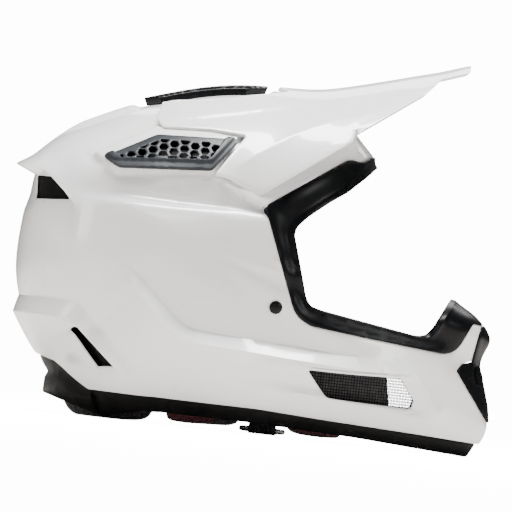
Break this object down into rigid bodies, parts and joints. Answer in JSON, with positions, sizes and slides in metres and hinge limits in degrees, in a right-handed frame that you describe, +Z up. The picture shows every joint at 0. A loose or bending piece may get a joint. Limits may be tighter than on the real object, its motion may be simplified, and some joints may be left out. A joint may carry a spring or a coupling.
{
  "type": "motocross helmet",
  "caption": "Full-face off-road helmet with a long peaked visor that pulls off, an open eyeport, vented chin bar, padded lining and a D-ring chin strap.",
  "frame": {"origin": "On the surface the helmet stands on, at the middle of its length and width (the visor's tip and the spoiler are the ends).", "axes": "+X forward out of the face opening, +Y to the wearer's left, +Z up."},
  "size_m": [0.3662, 0.2516, 0.2847],
  "materials": {
    "shell": "gloss pearl white",
    "visor": "gloss pearl white",
    "black_trim": "gloss black",
    "dark_vent": "satin slate",
    "grille": "matt black wire mesh",
    "foam": "bead foam",
    "lining": "knitted lining",
    "pad": "brushed maroon and black fabric",
    "webbing": "woven webbing",
    "steel": "satin",
    "rivet": "black paint",
    "magnet": "plated"
  },
  "bodies": {
    "helmet": {"outer_shell": "shell", "eyeport_trim": "black_trim", "nose_guard": "black_trim", "base_trim": "black_trim", "rear_collar": "black_trim", "top_vent_cover": "black_trim", "mouth_vent_cover": "black_trim", "mouth_vent_grille": "grille", "crown_liner": "foam", "chin_liner": "foam", "crown_pad": "lining", "brow_pad": "lining", "neck_roll": "lining", "visor_magnets": "magnet", "side_vent_frame_right": "dark_vent", "side_vent_screen_right": "grille", "rear_vent_screen_right": "grille", "rear_slot_screen_right": "grille", "chin_vent_screen_right": "grille", "pad_snaps_right": "magnet", "strap_anchor_right": "webbing", "strap_rivet_right": "rivet", "side_vent_frame_left": "dark_vent", "side_vent_screen_left": "grille", "rear_vent_screen_left": "grille", "rear_slot_screen_left": "grille", "chin_vent_screen_left": "grille", "pad_snaps_left": "magnet", "strap_anchor_left": "webbing", "strap_rivet_left": "rivet"},
    "visor": {"visor": "visor", "visor_keepers": "magnet"},
    "cheek_pad_right": {"cheek_pad_right": "pad"},
    "cheek_pad_left": {"cheek_pad_left": "pad"},
    "strap_right": {"strap_right": "webbing"},
    "strap_left": {"strap_left": "webbing", "strap_snap": "steel"},
    "d_ring_outer": {"d_ring_outer": "steel"},
    "d_ring_inner": {"d_ring_inner": "steel"}
  },
  "joints": [
    {"name": "visor_release", "type": "slide", "parent": "helmet", "child": "visor", "axis": [0.8, 0, 0.6], "range_m": [0, 0.08]},
    {"name": "cheek_pad_right_pull", "type": "slide", "parent": "helmet", "child": "cheek_pad_right", "axis": [0, 1, 0], "range_m": [0, 0.03]},
    {"name": "cheek_pad_left_pull", "type": "slide", "parent": "helmet", "child": "cheek_pad_left", "axis": [0, -1, 0], "range_m": [0, 0.03]},
    {"name": "strap_right_swing", "type": "hinge", "parent": "helmet", "child": "strap_right", "pos_m": [0.01438, -0.046, 0.0195], "axis": [1, 0, 0], "range_deg": [0, 20]},
    {"name": "strap_left_swing", "type": "hinge", "parent": "helmet", "child": "strap_left", "pos_m": [0.01438, 0.046, 0.0195], "axis": [-1, 0, 0], "range_deg": [0, 20]},
    {"name": "d_ring_outer_swing", "type": "hinge", "parent": "strap_right", "child": "d_ring_outer", "pos_m": [0.01438, -0.034, 0.0044], "axis": [1, 0, 0], "range_deg": [0, 20]},
    {"name": "d_ring_inner_swing", "type": "hinge", "parent": "strap_right", "child": "d_ring_inner", "pos_m": [0.01438, -0.0286, 0.0044], "axis": [1, 0, 0], "range_deg": [0, 20]}
  ]
}
